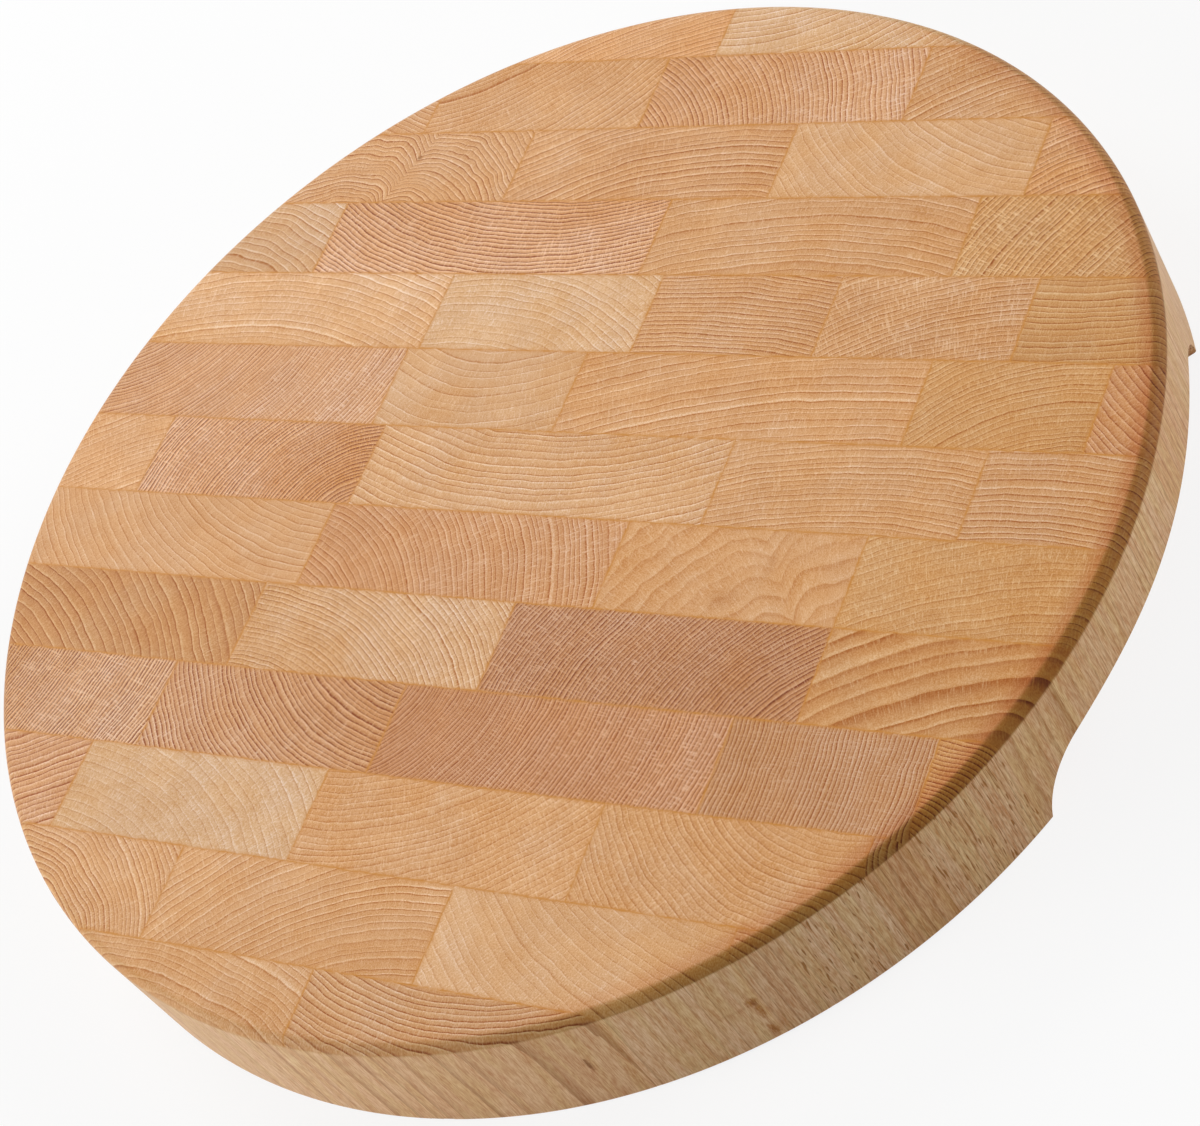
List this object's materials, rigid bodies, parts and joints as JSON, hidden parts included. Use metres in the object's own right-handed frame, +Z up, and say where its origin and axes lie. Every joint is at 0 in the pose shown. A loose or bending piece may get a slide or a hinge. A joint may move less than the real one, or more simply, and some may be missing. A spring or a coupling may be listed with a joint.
{
  "type": "chopping block",
  "caption": "Round end-grain chopping block glued from upright beech staves in staggered rows, with a rounded rim and a finger grip under the edge on two opposite sides.",
  "frame": {"origin": "centre of the resting face, on the axis of the round block", "axes": "+Z up out of the chopping face, +X along the rows of staves towards one finger grip, +Y across the rows"},
  "size_m": [0.4, 0.4, 0.043],
  "materials": {
    "beech_pale": "pale beech end grain, finely sanded and lightly oiled",
    "beech_honey": "honey-coloured beech end grain, finely sanded and lightly oiled",
    "beech_tan": "tan beech end grain, finely sanded and lightly oiled",
    "beech_orange": "orange-tan beech end grain, finely sanded and lightly oiled",
    "beech_pink": "pinkish beech end grain, finely sanded and lightly oiled",
    "beech_brown": "pinkish-brown beech end grain, finely sanded and lightly oiled"
  },
  "bodies": {
    "root": {"back_row_6_stave_1": "beech_tan", "back_row_6_stave_2": "beech_honey", "back_row_5_stave_1": "beech_tan", "back_row_5_stave_2": "beech_honey", "back_row_5_stave_3": "beech_pink", "back_row_5_stave_4": "beech_tan", "back_row_4_stave_1": "beech_honey", "back_row_4_stave_2": "beech_tan", "back_row_4_stave_3": "beech_pale", "back_row_4_stave_4": "beech_tan", "back_row_3_stave_1": "beech_pale", "back_row_3_stave_2": "beech_pink", "back_row_3_stave_3": "beech_honey", "back_row_3_stave_4": "beech_tan", "back_row_2_stave_1": "beech_pale", "back_row_2_stave_2": "beech_pale", "back_row_2_stave_3": "beech_orange", "back_row_2_stave_4": "beech_tan", "back_row_2_stave_5": "beech_honey", "back_row_1_stave_1": "beech_pink", "back_row_1_stave_2": "beech_pale", "back_row_1_stave_3": "beech_honey", "back_row_1_stave_4": "beech_honey", "back_row_1_stave_5": "beech_tan", "middle_row_stave_1": "beech_pale", "middle_row_stave_2": "beech_pink", "middle_row_stave_3": "beech_pale", "middle_row_stave_4": "beech_honey", "middle_row_stave_5": "beech_honey", "front_row_1_stave_1": "beech_pale", "front_row_1_stave_2": "beech_pink", "front_row_1_stave_3": "beech_honey", "front_row_1_stave_4": "beech_honey", "front_row_2_stave_1": "beech_orange", "front_row_2_stave_2": "beech_pale", "front_row_2_stave_3": "beech_brown", "front_row_2_stave_4": "beech_orange", "front_row_3_stave_1": "beech_pink", "front_row_3_stave_2": "beech_pink", "front_row_3_stave_3": "beech_brown", "front_row_3_stave_4": "beech_pink", "front_row_3_stave_5": "beech_orange", "front_row_4_stave_1": "beech_tan", "front_row_4_stave_2": "beech_pale", "front_row_4_stave_3": "beech_honey", "front_row_4_stave_4": "beech_honey", "front_row_4_stave_5": "beech_pink", "front_row_5_stave_1": "beech_honey", "front_row_5_stave_2": "beech_orange", "front_row_5_stave_3": "beech_pale", "front_row_5_stave_4": "beech_tan", "front_row_6_stave_1": "beech_orange", "front_row_6_stave_2": "beech_tan"}
  },
  "joints": []
}
